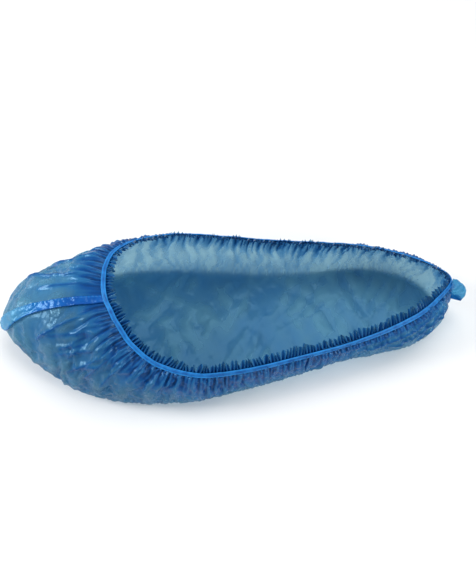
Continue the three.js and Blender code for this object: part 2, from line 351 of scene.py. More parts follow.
# %% Relief of the gathers
GATHERS = 252
RIDGES = [  # how many in a turn, height, height at the band as a share, reach from the band, pinch
    (GATHERS, 1.5, 0.8, 20, 0.9),
    (GATHERS // 2, 1.6, 0.2, 38, 1.2),
    (GATHERS // 4, 1.5, 0.0, 66, 1.6),
]
RISES_OVER = 0.4
FADES_FROM = 0.3
DRIFT_SIZE = 20.0
DRIFT_STARTS = (2, 40)
DRIFTING_RIDGES = 50
STRENGTHS = (0.35, 1.0)
LENGTHS = (0.45, 1.55)
SEED = 7
SEEDS_APART = 17.3
rng = np.random.default_rng(SEED)


def wander(places, size, seed):
    """Smooth noise from -1 to 1 at places in millimetres, with features of about size."""
    flat = places.reshape(-1, 3) / size + seed * SEEDS_APART
    values = np.array([noise.noise(Vector(p)) for p in flat])
    return values.reshape(places.shape[:-1])


def ridges(along, distance, drift, count, height, reach, pinch):
    """Ridges across the band: count of them in one turn, each with its own height and reach."""
    place = along * count + drift
    cell = np.floor(place).astype(int) % count
    strength = mix(*STRENGTHS, rng.random(count))
    length = reach * mix(*LENGTHS, rng.random(count))
    tent = 1 - zigzag(place)
    fade = 1 - ease(distance, FADES_FROM * length[cell], length[cell])
    return height * strength[cell] * tent**pinch * fade


def gathers(places, along, distance):
    """Relief of all the gathers, whose lines wander more the further they are from the band."""
    relief = np.zeros(distance.shape)
    drift = wander(places, DRIFT_SIZE, seed=1) * ease(distance, *DRIFT_STARTS)
    for count, height, at_band, reach, pinch in RIDGES:
        ramp = mix(at_band, 1.0, ease(distance, 0, RISES_OVER * reach))
        moved = drift * count / DRIFTING_RIDGES
        relief += ramp * ridges(along, distance, moved, count, height, reach, pinch)
    return relief


# %% [markdown]
# ## The bag
#
# One grid makes the whole bag: its first rows run from the middle of the sole out to the edge, the
# next turn the corner, and the rest climb the wall to just above the band. The film is thinner than
# anything that a render can show, so the bag is a single surface.

# %% Lay out the bag
COLUMNS_PER_GATHER = 5
BAG_COLUMNS = GATHERS * COLUMNS_PER_GATHER
SOLE_ROWS = 24
CORNER_ROWS = 3
WALL_ROWS = 47
FILM_ABOVE_BAND = 1.6
OFF_FLOOR = 0.15

sole_shares = np.linspace(0.5, 0, SOLE_ROWS + 1)[:-1]
corner_shares = np.linspace(0, CORNER_SHARE, CORNER_ROWS + 1)[:-1]
wall_shares = np.concatenate([corner_shares, np.linspace(CORNER_SHARE, 1, WALL_ROWS + 1)])
turns = even_turns(BAG_COLUMNS)
wall_turns, wall_share = np.meshgrid(turns, wall_shares)
wall = film_point(wall_turns, wall_share)
_, rise, out = film_frame(wall_turns, wall_share)
steps = np.linalg.norm(np.diff(wall[::-1], axis=0), axis=-1)
distance = np.concatenate([np.zeros((1, len(turns))), np.cumsum(steps, axis=0)])[::-1]
print("ribs run", round(distance[0].min()), "to", round(distance[0].max()), "mm")

# %% [markdown]
# ## Slack film
#
# The bag is cut larger than what it covers, so its film is slack, and slack film buckles into creases
# that nobody would draw by hand. Blender's cloth solver finds them. A coarse copy of the wall is held
# at the sole, at the band and at both welds, and lies on a form of the same shape. Its springs grow,
# more towards the band, so it has to buckle outwards. The solver is made for larger things than this,
# so the copy is made ten times too large.

# %% Cloth helpers
CLOTH_COLUMNS = 360
CLOTH_ROWS = 36
CLOTH_SCALE = 10
CLOTH_FRAMES = 26
FORM_STEP = 4
GROWTH_AT_SOLE = 0.1
GROWTH_AT_BAND = 0.2


def group_of(piece, name, weights):
    """A vertex group with a weight for each point, left out where the weight is 0."""
    group = piece.vertex_groups.new(name=name)
    for index in np.nonzero(weights)[0]:
        group.add([int(index)], float(weights[index]), "REPLACE")


def set_cloth(film):
    """Thin limp film, with no weight of its own."""
    cloth = film.modifiers.new("slack", "CLOTH")
    settings = cloth.settings
    settings.vertex_group_mass = "held"
    settings.vertex_group_shrink = "slack"
    settings.shrink_min = -GROWTH_AT_SOLE
    settings.shrink_max = -GROWTH_AT_BAND
    settings.quality = 6
    settings.mass = 0.05
    settings.tension_stiffness = 20
    settings.compression_stiffness = 20
    settings.shear_stiffness = 8
    settings.bending_stiffness = 0.08
    settings.air_damping = 1
    settings.effector_weights.gravity = 0.0
    cloth.collision_settings.distance_min = 0.004
    cloth.point_cache.frame_start, cloth.point_cache.frame_end = 1, CLOTH_FRAMES


def settled_points(film):
    """Step the solver to its last frame, and give the film's points in millimetres."""
    for step in range(1, CLOTH_FRAMES + 1):
        bpy.context.scene.frame_set(step)
    mesh = film.evaluated_get(bpy.context.evaluated_depsgraph_get()).to_mesh()
    values = np.zeros(len(mesh.vertices) * 3, np.float32)
    mesh.vertices.foreach_get("co", values)
    bpy.context.scene.frame_set(1)
    moved = values.reshape(-1, 3) / CLOTH_SCALE / MM
    return moved + np.array([MIDDLE_TO_ORIGIN, TOE_TO_ORIGIN, 0.0])


def buckled(worn, form, held, slack):
    """Where film goes that lies on a form, is held in some places and has grown in others."""
    film = sheet_from("settling_film", worn, scale=CLOTH_SCALE)
    block = sheet_from("form_under_film", form, scale=CLOTH_SCALE)
    number = numbers_of(film.data)
    group_of(film, "held", held.ravel()[number])
    group_of(film, "slack", slack.ravel()[number])
    block.modifiers.new("stop", "COLLISION")
    block.collision.thickness_outer = 0.001
    set_cloth(film)
    places = np.full((worn.shape[0] * worn.shape[1], 3), np.nan)
    places[number] = settled_points(film)
    places = places.reshape(worn.shape)
    ends = np.where(np.isnan(places[:, 0]), places[:, -1], places[:, 0])
    places[:, 0] = places[:, -1] = ends
    for used in (film, block):
        bpy.data.objects.remove(used)
    return places


# %% [markdown]
# Perfectly even film would not know which way to buckle, so the copy starts with small bumps. What the
# solver finds is then held in: no point moves further than a few millimetres, and the stiff weld at
# the toe keeps the film beside it nearly still.

# %% Let the slack film settle
CLEAR_OF_FORM = 0.7
MOST_MOVED = 3.2
WELD_TURN = 0.003
HELD_BELOW, HELD_ABOVE = 0.05, 0.999
SMOOTH_BUMP, ROUGH_BUMP = 0.25, 0.15
BUMPY_FROM, BUMPY_TO = (HELD_BELOW, 0.3), (0.96, 1.0)
MOVED_AT_WELD = 0.1
WELD_REACH = (6, 20)


def starting_bumps(places, shares):
    """Small uneven bumps, in millimetres, that fade out at the sole and at the band."""
    rough = rng.standard_normal(shares.shape)
    bumps = SMOOTH_BUMP * wander(places, 8.0, seed=11) + ROUGH_BUMP * rough
    bumps[:, -1] = bumps[:, 0]
    bumps *= ease(shares, *BUMPY_FROM) * (1 - ease(shares, *BUMPY_TO))
    return bumps


def held_film(turns, shares):
    """1 for film that is held at the sole, at the band or at a weld, and 0 for slack film."""
    from_weld = np.minimum(np.abs(turns - TOE_WELD), np.minimum(turns, 1 - turns))
    return ((shares < HELD_BELOW) | (shares > HELD_ABOVE) | (from_weld < WELD_TURN)).astype(float)


cloth_turns = even_turns(CLOTH_COLUMNS)
grid_turns, grid_share = np.meshgrid(cloth_turns, np.linspace(0, 1, CLOTH_ROWS + 1))
smooth = film_point(grid_turns, grid_share)
slack_move = np.zeros_like(smooth)
_, _, cloth_out = film_frame(grid_turns, grid_share)
worn = smooth + cloth_out * (CLEAR_OF_FORM + starting_bumps(smooth, grid_share))[..., None]
form = smooth[::FORM_STEP, ::FORM_STEP]
slack_move = buckled(worn, form, held_film(grid_turns, grid_share), grid_share) - worn
reach = np.linalg.norm(slack_move, axis=-1)
slack_move *= (MOST_MOVED * np.tanh(reach / MOST_MOVED) / (reach + 1e-9))[..., None]
toe_seam = film_point(np.full_like(grid_turns, TOE_WELD), grid_share)
from_toe_seam = np.linalg.norm(smooth - toe_seam, axis=-1)
slack_move *= mix(MOVED_AT_WELD, 1.0, ease(from_toe_seam, *WELD_REACH))[..., None]
moved = np.linalg.norm(slack_move, axis=-1)
print("slack film moved by", round(np.median(moved), 2), "mm, and", round(moved.max(), 2), "mm at most")

# %% [markdown]
# The creases are found on the coarse copy, and the pieces have finer grids. So the movement of the
# coarse points is carried over, on a smooth curve round the cover and a straight line up the ribs.


# %% Carry the creases over
def carried(turns, shares):
    """How far slack film has moved at any place, in millimetres."""
    place = np.interp(turns % 1.0, cloth_turns, np.arange(CLOTH_COLUMNS + 1))
    i = np.floor(place).astype(int)
    at = np.clip(shares, 0, 1) * CLOTH_ROWS
    low = np.minimum(np.floor(at).astype(int), CLOTH_ROWS - 1)
    ends = []
    for row in (low, low + 1):
        near = (slack_move[row, (i + k) % CLOTH_COLUMNS] for k in (-1, 0, 1, 2))
        ends.append(between(*near, (place - i)[..., None]))
    return mix(*ends, (at - low)[..., None])


# %% [markdown]
# Thin film keeps a crease wherever it was once folded. Each set of creases here is a zigzag wave that
# runs in its own direction, bends a little, and fades in and out on its way. Where the sets cross,
# they leave small flat facets with sharp edges. Their mean height is taken off on the wall, so that
# the creases don't make the cover thicker.

# %% Packing creases
CREASE_SETS = [  # direction, spacing, height
    ((0.9, 0.3, 0.3), 13.0, 0.8),
    ((-0.3, 0.9, 0.4), 17.0, 1.0),
    ((0.5, -0.6, 0.6), 9.0, 0.5),
    ((0.1, 0.5, -0.9), 14.0, 0.7),
    ((0.8, 0.7, -0.1), 23.0, 1.0),
]
CREASE_BEND, BEND_SPACINGS = 0.5, 2.2
CREASE_STRENGTH, STRENGTH_VARIES, STRENGTH_SPACINGS = 0.45, 1.3, 1.6
MEAN_CREASE = 0.95


def packing_creases(places):
    """Relief of the crossing creases, in millimetres."""
    relief = np.zeros(places.shape[:-1])
    for number, (direction, spacing, height) in enumerate(CREASE_SETS):
        bend = CREASE_BEND * wander(places, BEND_SPACINGS * spacing, seed=20 + number)
        patches = wander(places, STRENGTH_SPACINGS * spacing, seed=40 + number)
        strength = np.clip(CREASE_STRENGTH + STRENGTH_VARIES * patches, 0, 1)
        place = places @ unit(np.array(direction)) / spacing + bend
        relief += height * strength * zigzag(place)
    return relief


# %% [markdown]
# A few larger folds are always there on the toe and at the heel ear, where the film is pulled towards
# the band, and short ones lie between those of the toe. Each is a line on the film. Film is turned
# over along it, so the relief falls off slowly on one side and drops at once on the other.

# %% Turned folds
TURNED_FOLDS = [  # from rib, share, to rib, share, height, width
    (10.8, 0.43, 10.8, 0.88, 2.2, 4.0),
    (10.9, 0.50, 10.0, 0.87, 1.4, 3.0),
    (10.3, 0.44, 9.5, 0.78, 1.8, 3.5),
    (9.8, 0.33, 9.2, 0.80, 1.8, 3.5),
    (9.3, 0.36, 9.1, 0.84, 1.5, 3.0),
    (8.9, 0.35, 8.7, 0.87, 1.5, 2.5),
    (13.2, 0.38, 13.3, 0.96, 1.3, 3.0),
    (12.6, 0.60, 12.9, 0.96, 1.2, 2.5),
    (13.9, 0.46, 14.4, 0.94, 1.4, 3.0),
    (1.0, 0.95, 4.9, 0.66, 1.9, 3.0),
    (0.9, 0.90, 3.9, 0.47, 2.5, 3.5),
    (0.8, 0.82, 3.0, 0.33, 2.6, 3.5),
    (0.8, 0.72, 2.2, 0.26, 2.2, 3.0),
]
SHORT_FOLD = [  # least and most of: rib, share, reach, slant, height, width
    (8.3, 10.9),
    (0.4, 0.75),
    (0.1, 0.28),
    (-0.7, -0.1),
    (0.7, 1.3),
    (1.5, 2.5),
]
SHORT_FOLDS = 16
FOLD_STEPS = 9
FOLD_DROP = 0.2
FOLD_TAPER = 0.2
FOLD_EDGE_SHADE = 0.9


def short_folds():
    """Smaller folds between the large ones, on the outer side of the toe."""
    for _ in range(SHORT_FOLDS):
        rib, share, reach, slant, height, width = (mix(*span, rng.random()) for span in SHORT_FOLD)
        yield rib, share, rib + slant, share + reach, height, width


def turned_fold(places, out, fold):
    """Relief of one fold along a line from rib and share to rib and share, and a mark along its edge
    that deepens the blue there, partly for the turned-over layers and partly as painted shade.
    """
    from_rib, from_share, to_rib, to_share, height, width = fold
    s = np.linspace(0, 1, FOLD_STEPS + 1)
    line = film_point(mix(from_rib, to_rib, s) / len(RIBS), mix(from_share, to_share, s))
    nearest = np.full(places.shape[:-1], np.inf)
    relief = np.zeros(places.shape[:-1])
    edge = np.zeros(places.shape[:-1])
    for number, (start, end) in enumerate(zip(line, line[1:])):
        along = np.clip((places - start) @ (end - start) / ((end - start) @ (end - start)), 0, 1)
        off = places - mix(start, end, along[..., None])
        away = np.linalg.norm(off, axis=-1)
        side = np.einsum("ijk,ijk->ij", np.cross(end - start, off), out)
        falls_over = np.where(side > 0, width, FOLD_DROP * width)
        share = (number + along) / FOLD_STEPS
        taper = ease(share, 0, FOLD_TAPER) * (1 - ease(share, 1 - FOLD_TAPER, 1))
        closer = away < nearest
        relief = np.where(closer, height * taper * np.exp(-away / falls_over), relief)
        edge = np.where(closer, min(height, 1) * taper * np.exp(-away / FOLD_EDGE_SHADE), edge)
        nearest = np.minimum(nearest, away)
    return relief, edge


# %% [markdown]
# All the relief now goes on the wall. Where the film is drawn tight towards the heel ear, the gathers
# are nearly flat and the creases are lower. By the toe weld all relief is low, under the flap.

# %% Raise the folds
GATHERS_FLATTER, CREASES_FLATTER = 0.8, 0.5
PULLED_RIBS = [(0.2, 1.2), (3.0, 4.6)]
PULLED_FROM_BAND = (2, 7)
CREASED_FROM_BAND = (4, 20)
RAISED_FROM_CORNER = (CORNER_SHARE, 0.3)
RAISED_AT_WELD = 0.35
RAISED_FROM_WELD = (4, 11)


def heel_pull(turns):
    """1 where the film of the outer side is drawn tight towards the heel ear, and 0 elsewhere."""
    rib = turns * len(RIBS)
    starts, ends = PULLED_RIBS
    return ease(rib, *starts) * (1 - ease(rib, *ends))


along = np.linspace(0, 1, BAG_COLUMNS + 1)[None, :] * np.ones_like(wall_shares)[:, None]
pulled = heel_pull(wall_turns) * ease(distance, *PULLED_FROM_BAND)
relief = gathers(wall, along, distance) * (1 - GATHERS_FLATTER * pulled)
creases = (packing_creases(wall) - MEAN_CREASE) * ease(distance, *CREASED_FROM_BAND)
relief += creases * (1 - CREASES_FLATTER * pulled)
fold_layers_and_shade = np.zeros_like(relief)
for fold in [*TURNED_FOLDS, *short_folds()]:
    raised, edge = turned_fold(wall, out, fold)
    relief += raised
    fold_layers_and_shade = np.maximum(fold_layers_and_shade, edge)
at_weld = closed_curve(BAND_LINE, np.array([TOE_WELD]))
to_weld = np.linalg.norm(closed_curve(BAND_LINE, turns) - at_weld, axis=-1)
by_weld = mix(RAISED_AT_WELD, 1.0, ease(to_weld, *RAISED_FROM_WELD))[None, :]
relief *= ease(wall_share, *RAISED_FROM_CORNER) * by_weld
wall = wall + carried(wall_turns, wall_share) + out * relief[..., None]
wall[..., 2] += OFF_FLOOR * (1 - wall_share)
print("relief from", round(relief.min(), 1), "to", round(relief.max(), 1), "mm")

# %% [markdown]
# A material can't know where the film is folded close, so each point carries two marks, and both paint
# shade into the colour. One says how far it stands above its neighbours, from -1 in a valley to 1 on a
# crest, and paints valleys deeper and crests paler: painted shade and painted highlight. The other says
# how densely the film lies there, and is high in the gathers by the band and along the edge of a turned
# fold; it deepens the blue partly for the extra layers of film and partly as painted shade.

# %% Make the bag
NEIGHBOURS = 8
CREST_HEIGHT = 0.55
CREST_SHADE_AWAY_FROM_BAND = 0.25
DENSE_FROM_BAND = (3, 26)
LESS_DENSE_WHERE_PULLED = 0.9
SOLE_EDGE_SHARES = (0.0, 0.12)


def relief_shade_of(places, out):
    """How far each point stands above its neighbours round the cover, from -1 to 1, used for painted
    shade.
    """
    loop = places[:, :-1]
    nearby = range(-NEIGHBOURS, NEIGHBOURS + 1)
    mean = sum(np.roll(loop, k, axis=1) for k in nearby) / len(nearby)
    above = np.einsum("ijk,ijk->ij", loop - mean, out[:, :-1])
    above = np.concatenate([above, above[:, :1]], axis=1)
    return np.clip(above / CREST_HEIGHT, -1, 1)


sole = np.array([mix(wall[0], wall[0][::-1], share) for share in sole_shares])
inside = ease(sole_shares, *SOLE_EDGE_SHARES)[:, None]
sole[..., 2] = sole_lift(sole[..., 1]) + OFF_FLOOR + packing_creases(sole) * inside
beyond = wall[-1] + rise[-1] * FILM_ABOVE_BAND
# Deeper blue in the gathers and along the fold edges: partly the extra layers, partly painted shade.
dense_and_shaded = (1 - ease(distance, *DENSE_FROM_BAND)) * (1 - LESS_DENSE_WHERE_PULLED * pulled)
# This mark paints shade into the valleys and a highlight onto the crests, strongest by the band.
painted_shade_and_dashes = relief_shade_of(wall, out) * mix(CREST_SHADE_AWAY_FROM_BAND, 1.0, dense_and_shaded)
dense_and_shaded = np.maximum(dense_and_shaded, fold_layers_and_shade)
unmarked = np.zeros(sole.shape[:2])
marks = {
    "depth_and_painted_light": np.concatenate([unmarked, dense_and_shaded, dense_and_shaded[-1:]]),
    "painted_shade_and_dashes": np.concatenate([unmarked, painted_shade_and_dashes, painted_shade_and_dashes[-1:]]),
}
bag = sheet_from("film_bag_gathered", np.concatenate([sole, wall, beyond[None]]), marks=marks)

# %% [markdown]
# ## The ruffle
#
# Above the elastic the hem is free, so its pleats open towards the edge and curl over. It stands up
# along the sides and leans in over the toe. Each pleat gets its own depth, width and lean, because no
# two of them are alike on a machine-gathered hem.

# %% Pleats
COLUMNS_PER_PLEAT = 8
RUFFLE_COLUMNS = GATHERS * COLUMNS_PER_PLEAT
PLEAT_DEPTH = (0.6, 1.3)
PLEAT_WIDTH = (0.7, 1.2)
PLEAT_SIDE = (-1.8, 1.8)

ruffle_turns = even_turns(RUFFLE_COLUMNS)
pleat_place = np.linspace(0, GATHERS, RUFFLE_COLUMNS + 1)
swing = np.sin(2 * np.pi * pleat_place)
curl = np.sin(4 * np.pi * pleat_place)


def for_each_pleat(least, most):
    """A value drawn for each pleat, blended into the next one's."""
    values = mix(least, most, rng.random(GATHERS))
    at = pleat_place - 0.5
    low = np.floor(at).astype(int)
    return mix(values[low % GATHERS], values[(low + 1) % GATHERS], ease(at - low, 0, 1))


pleat_depth = for_each_pleat(*PLEAT_DEPTH)
pleat_width = for_each_pleat(*PLEAT_WIDTH)
pleat_side = for_each_pleat(*PLEAT_SIDE)
print(GATHERS, "pleats,", round(ALONG_BAND[-1] / GATHERS, 1), "mm apart")

# %% Ruffle
RUFFLE_STRIPS = 8
RUFFLE_WIDTH = 6.3
RUFFLE_STARTS = 0.8
UPRIGHT = (0.8, 0.42)  # at the sides, over the toe
UPRIGHT_VARIES = 0.25
UPRIGHT_LIMITS = (0.2, 0.95)
PLEAT_OPENS = (0.6, 1.5)  # at the band, at the edge
PLEAT_CURL = 0.35

ones = np.ones_like(ruffle_turns)
ruffle_round, ruffle_rise, _ = film_frame(ruffle_turns, ones)
foot = film_point(ruffle_turns, ones)
upright = mix(*UPRIGHT, toe_share(ruffle_turns)) + UPRIGHT_VARIES * wander(foot, 11.0, seed=12)
upright = np.clip(upright, *UPRIGHT_LIMITS)
level = ruffle_rise.copy()
level[:, 2] = 0
lean = unit(level) * np.sqrt(1 - upright**2)[:, None]
lean[:, 2] = upright
ruffle_rows = []
for share in np.linspace(0, 1, RUFFLE_STRIPS + 1):
    stands = unit(mix(ruffle_rise, lean, share))
    facing = unit(np.cross(stands, ruffle_round))
    sway = mix(*PLEAT_OPENS, share) * pleat_depth * swing
    width = RUFFLE_WIDTH * share * mix(1.0, pleat_width, share)
    row = foot + ruffle_rise * RUFFLE_STARTS + lean * width[:, None]
    row += facing * sway[:, None] + ruffle_round * (share * (PLEAT_CURL * curl + pleat_side))[:, None]
    ruffle_rows.append(row)
# Deeper blue at the foot and paler at the tips, partly the tighter gathers at the band and partly a
# painted highlight on the tips; the second mark paints shade on one side of each pleat and a highlight
# on the other.
marks = {
    "depth_and_painted_light": np.outer(np.linspace(1, 0, RUFFLE_STRIPS + 1), ones),
    "painted_shade_and_dashes": np.tile(swing, (RUFFLE_STRIPS + 1, 1)),
}
ruffle = sheet_from("hem_ruffle_pleated", np.array(ruffle_rows), marks=marks)

# %% [markdown]
# ## The elastic
#
# The band is three fine rubber threads side by side in a film channel. It is swept along the band
# line with a cross-section of three round ribs on a flat back, and the gathers under it make it
# waver a little.

# %% Elastic band
BAND_COLUMNS = 900
BAND_SECTION = [  # up the rib, off the film
    (-1.4, 0.15), (-1.5, 0.55), (-1.25, 0.95), (-0.95, 1.0), (-0.6, 0.72),
    (-0.3, 1.0), (0.0, 1.12), (0.3, 1.0), (0.6, 0.72),
    (0.95, 1.0), (1.25, 0.95), (1.5, 0.55), (1.4, 0.15), (0.0, 0.1),
]
HALF_BAND = 1.5
BAND_OFF_FILM = 0.55
WAVERS = [(0.22, 7.0, 3), (0.12, 2.6, 4)]  # height, size, seed
WAVER_OUT = 0.8

band_turns = even_turns(BAND_COLUMNS)
band_ones = np.ones_like(band_turns)
band_foot = film_point(band_turns, band_ones)
_, band_rise, band_out = film_frame(band_turns, band_ones)
waver = sum(height * wander(band_foot, size, seed) for height, size, seed in WAVERS)
band_rows, band_edge = [], []
for up_rib, off_film in [*BAND_SECTION, BAND_SECTION[0]]:
    off = off_film + BAND_OFF_FILM + WAVER_OUT * waver
    band_rows.append(band_foot + band_rise * (up_rib + waver)[:, None] + band_out * off[:, None])
    band_edge.append(abs(up_rib) / HALF_BAND)
marks = {"edge": np.outer(band_edge, band_ones)}
elastic = sheet_from("elastic_band_ribbed", np.array(band_rows), tube=True, marks=marks)

# %% [markdown]
# ## The toe seam
#
# The toe is closed by a weld, and the two layers beyond it lie folded over to the outer side as a
# flap. It is widest low on the toe, and narrow at the sole. It lies on the slack film, puckers a
# little, and comes free along its edge. The weld itself is a row of short pressed dashes.

# %% Line of the flap
FLAP_WIDTHS = [  # share of the way up the rib, width
    (0.13, 3), (0.19, 7), (0.28, 8.8), (0.44, 7.6), (0.6, 6.2), (0.76, 5.6), (0.9, 6), (1, 5.4),
]
FLAP_COLUMNS = 260
FLAP_ROWS = 14

flap_share = np.linspace(FLAP_WIDTHS[0][0], FLAP_WIDTHS[-1][0], FLAP_COLUMNS + 1)
flap_width = np.interp(flap_share, *zip(*FLAP_WIDTHS))
weld = np.full_like(flap_share, TOE_WELD)
flap_run = running_length(film_point(weld, flap_share))
flap_speed = turn_length(weld, flap_share)
print("flap", round(flap_run[-1]), "mm long")

# %% Toe seam flap
FREE_EDGE = (0.7, 1.0)
FREE_FROM, FREE_TO = (0.16, 0.32), (0.9, 1.0)
EDGE_LIFT, LIFT_VARIES = 0.5, 1.8
DASH_AT, DASH_WIDTH, DASH_HEIGHT = 0.12, 0.08, 0.22
DASH_SPACING, DASH_STARTS = 2.2, -0.2
PUCKERS = [(0.9, 7.0, 9), (0.3, 2.5, 11)]  # height, size, seed
SMOOTH_EDGE, EDGE_SMOOTHER = (0.9, 1.0), 0.8
SEAT = (1.0, 0.35)  # off the film: on the toe, at the band
SEAT_LOWERS = (0.86, 1.0)
FLAP_BLUE, TOP_BLUE, EDGE_SHADOW_BLUE = -0.3, 1.4, 0.8
DEEPER_TO_TOP, SHADOW_TO_EDGE = (0.42, 0.8), (0.86, 1.0)
DASH_PALER, DASH_WORN = 1.4, -0.1


def weld_dashes(across, run):
    """1 on the short dashes of the weld and 0 between them, fading to both sides of their row."""
    in_row = np.exp(-(((across - DASH_AT) / DASH_WIDTH) ** 2))
    return in_row * (np.sin(2 * np.pi * run / DASH_SPACING) > DASH_STARTS)


def puckers(places, across):
    """Small puckers of the doubled film, smoother at its edge."""
    relief = sum(height * np.abs(wander(places, size, seed)) for height, size, seed in PUCKERS)
    return relief * (1 - EDGE_SMOOTHER * ease(across, *SMOOTH_EDGE))


flap_rows, flap_depth, flap_crest = [], [], []
for across in np.linspace(0, 1, FLAP_ROWS + 1):
    flap_turns = weld - across * flap_width / flap_speed
    row = film_point(flap_turns, flap_share) + carried(flap_turns, flap_share)
    _, _, flap_out = film_frame(flap_turns, flap_share)
    free = ease(across, *FREE_EDGE) * (1 - ease(flap_share, *FREE_TO)) * ease(flap_share, *FREE_FROM)
    edge_lift = EDGE_LIFT * free * (1 + LIFT_VARIES * wander(row, 9.0, seed=8))
    dash = weld_dashes(across, flap_run)
    seat = mix(*SEAT, ease(flap_share, *SEAT_LOWERS))
    row = row + flap_out * (seat + edge_lift + DASH_HEIGHT * dash + puckers(row, across))[:, None]
    flap_rows.append(row)
    top = TOP_BLUE * ease(flap_share, *DEEPER_TO_TOP)
    # A painted shadow deepens the blue in a narrow line along the flap's free edge.
    flap_depth.append(top + FLAP_BLUE + EDGE_SHADOW_BLUE * ease(across, *SHADOW_TO_EDGE))
    flap_crest.append(DASH_PALER * dash * (wander(row, 3.0, seed=10) > DASH_WORN))
marks = {"depth_and_painted_light": np.array(flap_depth), "painted_shade_and_dashes": np.array(flap_crest)}
flap = sheet_from("toe_seam_flap_welded", np.array(flap_rows), close=False, marks=marks)
thicken(flap)

# %% [markdown]
# ## The heel seam
#
# The heel is welded in the same way, but its two layers stand out behind. They make a narrow fin at
# the bottom and a loose ear just under the band. The ear is pulled up and to the outer side, has a
# few creases, and curls at its edge.

# %% Line of the fin
FIN_WIDTHS = [  # share of the way up the rib, width
    (0.13, 2.5), (0.27, 3), (0.295, 4), (0.305, 12.2), (0.42, 12.2), (0.56, 11.8),
    (0.7, 10.6), (0.8, 9.2), (0.88, 7.6), (0.95, 5.5),
]
FIN_COLUMNS = 140
FIN_ROWS = 24
EAR_SHIFT = 3.5
EAR_SHIFTS = (0.3, 0.9)

fin_share = np.linspace(FIN_WIDTHS[0][0], FIN_WIDTHS[-1][0], FIN_COLUMNS + 1)
fin_width = np.interp(fin_share, *zip(*FIN_WIDTHS))
heel_weld = np.zeros_like(fin_share)
fin_turns = EAR_SHIFT * ease(fin_share, *EAR_SHIFTS) / turn_length(heel_weld, fin_share)
fin_foot = film_point(fin_turns, fin_share)
fin_round, fin_rise, fin_out = film_frame(heel_weld, fin_share)
print("ear", max(fin_width), "mm wide")

# %% Heel seam fin
FIN_LEAN = math.radians(24)
FIN_OFF_FILM = 0.3
EAR_LIFT = 7.5
LIFTED_FROM_FOOT, LIFTED_FROM_FIN = (0.05, 0.4), (0.5, 0.95)
EAR_CURL, CURLED_FROM = 1.6, (0.55, 1.0)
EAR_WAVE, WAVES_ACROSS, WAVES_UP = 0.35, 4, 9
EAR_CREASE, CREASES_ACROSS, CREASES_UP = 0.5, 3.1, 4
CREASED_FROM = (0.1, 0.4)
FIN_BLUE, EAR_PAINTED_LIGHT = 0.5, 0.9
LIT_FROM_FOOT, LIT_FROM_FIN = (0.0, 0.5), (0.3, 0.5)

fin_edgewise = fin_out * math.cos(FIN_LEAN) + fin_round * math.sin(FIN_LEAN)
fin_facing = fin_round * math.cos(FIN_LEAN) - fin_out * math.sin(FIN_LEAN)
fin_rows, fin_depth = [], []
for across in np.linspace(0, 1, FIN_ROWS + 1):
    crease = zigzag(CREASES_ACROSS * across - CREASES_UP * fin_share)
    creased = EAR_CREASE * crease * ease(across, *CREASED_FROM)
    curled = EAR_CURL * ease(across, *CURLED_FROM) ** 2
    waved = EAR_WAVE * across * np.sin(WAVES_UP * fin_share + WAVES_ACROSS * across)
    lifted = EAR_LIFT * ease(across, *LIFTED_FROM_FOOT) * ease(fin_share, *LIFTED_FROM_FIN)
    row = fin_foot + fin_out * FIN_OFF_FILM + fin_edgewise * (across * fin_width)[:, None]
    row += fin_rise * lifted[:, None]
    fin_rows.append(row + fin_facing * (curled + waved + creased)[:, None])
    # The ear is painted paler towards its free edge and its top, as painted backlight.
    ear_painted_light = EAR_PAINTED_LIGHT * ease(across, *LIT_FROM_FOOT) * ease(fin_share, *LIT_FROM_FIN)
    fin_depth.append(FIN_BLUE - ear_painted_light)
marks = {"depth_and_painted_light": np.array(fin_depth)}
fin = sheet_from("heel_seam_ear", np.array(fin_rows), close=False, marks=marks)
thicken(fin)

# %% [markdown]
# ## Finishes
#
# The film is clear enough to see through, and each layer takes out some of the red and green light.
# So one layer looks pale, and where the film is folded close it looks deep royal blue. Each film
# material mixes a tinted transparent shader with a glossy blue one, and the two marks set how deep
# both are; they also paint shade into the colour, deeper in the gathers, valleys and fold edges and
# paler on crests. Two colour tables are enough: one for a single layer, and one for the doubled film
# of the welds, which is brighter because it has air between its layers.

# %% Depths of blue
THIN_FILM = [  # depth, body colour, what passes through
    (0.0, (0.08, 0.21, 0.32), (0.42, 0.72, 0.84)),
    (0.35, (0.02, 0.14, 0.35), (0.18, 0.48, 0.74)),
    (0.7, (0.003, 0.065, 0.27), (0.035, 0.23, 0.50)),
    (1.0, (0.001, 0.026, 0.12), (0.006, 0.08, 0.25)),
]
DOUBLED_FILM = [
    (0.0, (0.10, 0.36, 0.58), (0.30, 0.70, 0.90)),
    (0.35, (0.02, 0.22, 0.52), (0.12, 0.48, 0.80)),
    (0.7, (0.006, 0.13, 0.50), (0.04, 0.26, 0.60)),
    (1.0, (0.003, 0.07, 0.34), (0.01, 0.08, 0.25)),
]
DEEPER_BY_LAYERS_AND_SHADE = 0.65
PAINTED_SHADE_BY_CREST = 0.3


def shader(tree, kind, inputs=None, **settings):
    """A new node of a material, with its settings and the values of its inputs."""
    node = tree.nodes.new("ShaderNode" + kind)
    for name, value in settings.items():
        setattr(node, name, value)
    for socket, value in (inputs or {}).items():
        node.inputs[socket].default_value = value
    return node


def mark(tree, name):
    """A mark that is written on the points of a piece."""
    return shader(tree, "Attribute", attribute_name=name).outputs["Fac"]


def colour_ramp(tree, depth, rows):
    """A colour for each depth, blended in between, from rows of depth and colour."""
    ramp = shader(tree, "ValToRGB")
    elements = ramp.color_ramp.elements
    while len(elements) < len(rows):
        elements.new(0.5)
    for element, (position, colour) in zip(elements, rows):
        element.position = position
        element.color = (*colour, 1)
    tree.links.new(depth, ramp.inputs["Fac"])
    return ramp.outputs["Color"]


